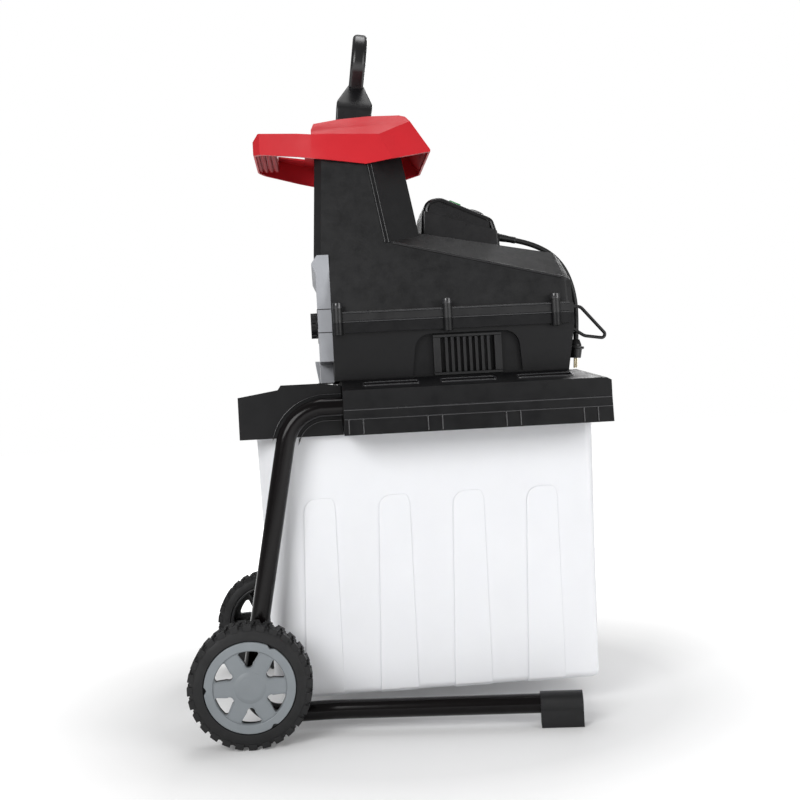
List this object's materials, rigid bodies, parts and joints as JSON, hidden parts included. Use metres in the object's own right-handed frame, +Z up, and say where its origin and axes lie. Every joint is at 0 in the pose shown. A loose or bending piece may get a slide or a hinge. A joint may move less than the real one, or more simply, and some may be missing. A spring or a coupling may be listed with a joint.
{
  "type": "garden shredder",
  "caption": "Upright electric wood chipper on a two-wheeled tube stand: red hopper collar with grip, leaning pusher, black housing, and a white collection box that slides out below.",
  "frame": {"origin": "on the ground, in the middle of the machine's length and width", "axes": "+X from the wheels to the feet, +Y to the gearbox side, +Z up"},
  "size_m": [0.6227, 0.483, 0.9902],
  "materials": {
    "tyre_rubber": "black moulded tread",
    "rim_plastic": "satin mid-grey moulded plastic",
    "tube_paint": "gloss black painted steel tube",
    "black_plastic": "fine-textured black moulded plastic",
    "grey_plastic": "silver-grey moulded plastic",
    "red_plastic": "semi-gloss red moulded plastic",
    "box_plastic": "translucent white moulded plastic",
    "bright_steel": "ground steel",
    "dark_steel": "hardened dark steel",
    "cast_alloy": "cast alloy",
    "copper_wire": "varnished copper and iron",
    "green_key": "green key",
    "red_key": "red key",
    "cord_rubber": "black cable sheath",
    "blade_brass": "plated contact blades"
  },
  "bodies": {
    "machine": {"axle_clips": "bright_steel", "axle": "bright_steel", "frame_tube_near": "tube_paint", "frame_tube_far": "tube_paint", "foot_near": "black_plastic", "foot_far": "black_plastic", "base_tray": "black_plastic", "wheel_end_cover": "black_plastic", "box_runners": "black_plastic", "upper_housing": "black_plastic", "lower_housing": "black_plastic", "end_plate": "grey_plastic", "housing_screws": "bright_steel", "hopper_collar": "red_plastic", "switch_box_base": "black_plastic", "switch_box_lid": "black_plastic", "chamber_plate_near": "dark_steel", "chamber_plate_far": "dark_steel", "chamber_back": "dark_steel", "cutter_bearings": "bright_steel", "gearbox_case": "cast_alloy", "gearbox_cover": "cast_alloy", "motor_can": "cast_alloy", "motor_end_cap": "cast_alloy", "stator": "copper_wire", "motor_cradle": "black_plastic", "capacitor": "cast_alloy", "vent_grille_near": "black_plastic", "vent_grille_far": "black_plastic", "cord_gland": "cord_rubber", "power_cord": "cord_rubber", "plug_body": "cord_rubber", "plug_blades": "blade_brass", "cord_hook": "black_plastic"},
    "wheel_near": {"tyre_near": "tyre_rubber", "rim_near": "rim_plastic", "hub_cap_near": "rim_plastic"},
    "wheel_far": {"tyre_far": "tyre_rubber", "rim_far": "rim_plastic", "hub_cap_far": "rim_plastic"},
    "box": {"collection_box": "box_plastic"},
    "latch": {"box_latch": "grey_plastic"},
    "pusher": {"pusher": "black_plastic"},
    "start": {"start_button": "green_key"},
    "stop": {"stop_button": "red_key"},
    "selector": {"direction_selector": "black_plastic"},
    "reset": {"reset_button": "red_key"},
    "cutter": {"cutter_drum": "dark_steel", "cutter_shaft": "bright_steel", "output_gear": "dark_steel"},
    "idler": {"idler_gear": "dark_steel", "idler_shaft": "bright_steel"},
    "rotor": {"rotor": "bright_steel", "motor_pinion": "dark_steel", "motor_fan": "black_plastic"},
    "jaw": {"pressure_plate": "cast_alloy"},
    "adjuster": {"adjuster_screw": "bright_steel", "adjuster_knob": "black_plastic"}
  },
  "joints": [
    {"name": "wheel_near_spin", "type": "hinge", "parent": "machine", "child": "wheel_near", "pos_m": [-0.232, 0, 0.08], "axis": [0, 1, 0], "continuous": true},
    {"name": "wheel_far_spin", "type": "hinge", "parent": "machine", "child": "wheel_far", "pos_m": [-0.232, 0, 0.08], "axis": [0, 1, 0], "continuous": true},
    {"name": "box_slide", "type": "slide", "parent": "machine", "child": "box", "axis": [1, 0, 0], "range_m": [0, 0.46]},
    {"name": "latch_slide", "type": "slide", "parent": "machine", "child": "latch", "axis": [0, 0, 1], "range_m": [0, 0.018]},
    {"name": "pusher_lift", "type": "slide", "parent": "machine", "child": "pusher", "axis": [0.1392, 0, 0.9903], "range_m": [0, 0.3]},
    {"name": "start_press", "type": "slide", "parent": "machine", "child": "start", "axis": [-0.4094, 0, -0.9124], "range_m": [0, 0.003], "stiffness_N_per_m": 500, "springref_m": -0.002},
    {"name": "stop_press", "type": "slide", "parent": "machine", "child": "stop", "axis": [-0.4094, 0, -0.9124], "range_m": [0, 0.003], "stiffness_N_per_m": 500, "springref_m": -0.002},
    {"name": "reset_press", "type": "slide", "parent": "machine", "child": "reset", "axis": [-0.4094, 0, -0.9124], "range_m": [0, 0.002], "stiffness_N_per_m": 500, "springref_m": -0.002},
    {"name": "selector_turn", "type": "hinge", "parent": "machine", "child": "selector", "pos_m": [0.12216, -0.018, 0.7058], "axis": [0.4094, 0, 0.9124], "range_deg": [-45, 45]},
    {"name": "rotor_spin", "type": "hinge", "parent": "machine", "child": "rotor", "pos_m": [0.08, 0, 0.54], "axis": [0, 1, 0], "continuous": true},
    {"name": "idler_spin", "type": "hinge", "parent": "machine", "child": "idler", "pos_m": [0.02784, 0, 0.55745], "axis": [0, 1, 0], "continuous": true},
    {"name": "cutter_spin", "type": "hinge", "parent": "machine", "child": "cutter", "pos_m": [-0.035, 0, 0.553], "axis": [0, 1, 0], "continuous": true},
    {"name": "adjuster_turn", "type": "hinge", "parent": "machine", "child": "adjuster", "pos_m": [-0.121, 0, 0.553], "axis": [1, 0, 0], "range_deg": [0, 720]},
    {"name": "jaw_slide", "type": "slide", "parent": "machine", "child": "jaw", "axis": [-1, 0, 0], "range_m": [0, 0.0025]}
  ],
  "couplings": [
    {"joint": "idler_spin", "follows": "rotor_spin", "ratio": -0.15789},
    {"joint": "cutter_spin", "follows": "rotor_spin", "ratio": 0.026316},
    {"joint": "adjuster_turn", "follows": "jaw_slide", "rad_per_m": 5026.5}
  ]
}
